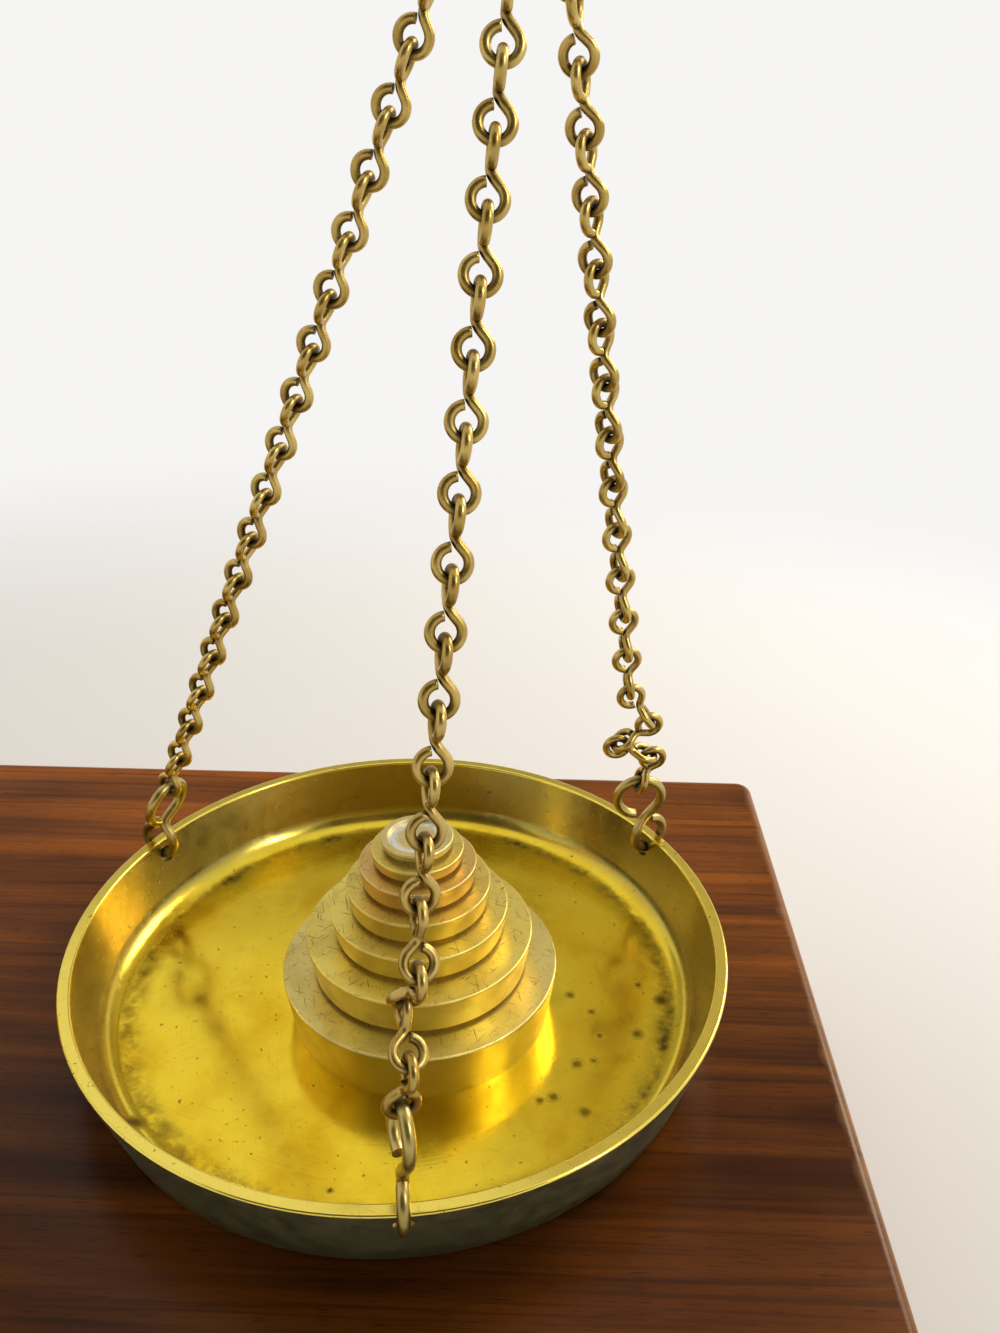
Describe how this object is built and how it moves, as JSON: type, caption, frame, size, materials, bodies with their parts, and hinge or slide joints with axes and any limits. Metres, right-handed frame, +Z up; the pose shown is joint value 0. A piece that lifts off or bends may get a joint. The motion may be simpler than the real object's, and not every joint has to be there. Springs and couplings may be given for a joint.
{
  "type": "balance scale",
  "caption": "Brass pillar balance scale on a mahogany drawer box, with chain-hung pans and a nest of disc weights resting in the lowered pan.",
  "frame": {"origin": "under the pillar, at the level that the feet stand on, in the middle of the base", "axes": "+X along the base from the pillar to the loaded pan, +Y to the back, +Z up"},
  "size_m": [0.5438, 0.232, 0.4749],
  "materials": {
    "mahogany": "french polished",
    "pine": "plain",
    "pan_brass": "polished, worn",
    "weight_brass": "turned, scratched",
    "chain_brass": "tarnished",
    "pillar_brass": "polished",
    "steel": "ground",
    "enamel": "enamelled"
  },
  "bodies": {
    "base": {"top_board": "mahogany", "plinth_board": "mahogany", "left_end": "mahogany", "right_end": "mahogany", "back_panel": "mahogany", "bun_feet": "mahogany", "box_screws": "steel", "drawer_runners": "pine", "pillar_flange": "pillar_brass", "flange_screws": "pillar_brass", "pillar_column": "pillar_brass", "pillar_washer": "steel", "pillar_nut": "steel", "index_plate": "enamel", "index_screws": "pillar_brass", "fork_head": "pillar_brass", "beam_bearings": "steel"},
    "drawer": {"drawer_front": "mahogany", "drawer_knobs": "pillar_brass", "drawer_left_side": "pine", "drawer_right_side": "pine", "drawer_back": "pine", "drawer_bottom": "pine"},
    "beam": {"beam": "pillar_brass", "center_knife": "steel", "end_knives": "steel", "beam_finial": "pillar_brass", "pointer": "steel"},
    "left_hanger": {"left_stirrup": "pillar_brass", "left_hook": "pillar_brass", "left_chain_outer": "chain_brass", "left_chain_inner": "chain_brass", "left_chain_front": "chain_brass", "left_rim_hooks": "chain_brass", "left_pan": "pan_brass"},
    "right_hanger": {"right_stirrup": "pillar_brass", "right_hook": "pillar_brass", "right_chain_outer": "chain_brass", "right_chain_inner": "chain_brass", "right_chain_front": "chain_brass"},
    "right_pan": {"right_pan": "pan_brass", "right_rim_hooks": "chain_brass"},
    "weight_1": {"weight_1": "weight_brass"},
    "weight_2": {"weight_2": "weight_brass"},
    "weight_3": {"weight_3": "weight_brass"},
    "weight_4": {"weight_4": "weight_brass"},
    "weight_5": {"weight_5": "weight_brass"},
    "weight_6": {"weight_6": "weight_brass"},
    "weight_7": {"weight_7": "weight_brass"}
  },
  "joints": [
    {"name": "beam_swing", "type": "hinge", "parent": "base", "child": "beam", "pos_m": [0, 0, 0.43217], "axis": [0, -1, 0], "range_deg": [0, 8]},
    {"name": "left_hanger_swing", "type": "hinge", "parent": "beam", "child": "left_hanger", "pos_m": [-0.18399, 0, 0.4515], "axis": [0, -1, 0], "range_deg": [-8, 0]},
    {"name": "right_hanger_swing", "type": "hinge", "parent": "beam", "child": "right_hanger", "pos_m": [0.18399, 0, 0.41283], "axis": [0, -1, 0], "range_deg": [-8, 0]},
    {"name": "right_pan_settle", "type": "slide", "parent": "right_hanger", "child": "right_pan", "axis": [0.9473, 0, -0.3205], "range_m": [0, 0.03241], "deforming": ["right_chain_outer", "right_chain_inner", "right_chain_front"]},
    {"name": "drawer_slide", "type": "slide", "parent": "base", "child": "drawer", "axis": [0, -1, 0], "range_m": [0, 0.14]},
    {"name": "weight_1_lift", "type": "slide", "parent": "right_pan", "child": "weight_1", "axis": [0, 0, 1], "range_m": [0, 0.015]},
    {"name": "weight_2_lift", "type": "slide", "parent": "weight_1", "child": "weight_2", "axis": [0, 0, 1], "range_m": [0, 0.015]},
    {"name": "weight_3_lift", "type": "slide", "parent": "weight_2", "child": "weight_3", "axis": [0, 0, 1], "range_m": [0, 0.015]},
    {"name": "weight_4_lift", "type": "slide", "parent": "weight_3", "child": "weight_4", "axis": [0, 0, 1], "range_m": [0, 0.015]},
    {"name": "weight_5_lift", "type": "slide", "parent": "weight_4", "child": "weight_5", "axis": [0, 0, 1], "range_m": [0, 0.015]},
    {"name": "weight_6_lift", "type": "slide", "parent": "weight_5", "child": "weight_6", "axis": [0, 0, 1], "range_m": [0, 0.015]},
    {"name": "weight_7_lift", "type": "slide", "parent": "weight_6", "child": "weight_7", "axis": [0, 0, 1], "range_m": [0, 0.015]}
  ],
  "couplings": [
    {"joint": "left_hanger_swing", "follows": "beam_swing", "ratio": -1},
    {"joint": "right_hanger_swing", "follows": "beam_swing", "ratio": -1},
    {"joint": "right_pan_settle", "follows": "beam_swing", "m_per_rad": 0.23211}
  ]
}
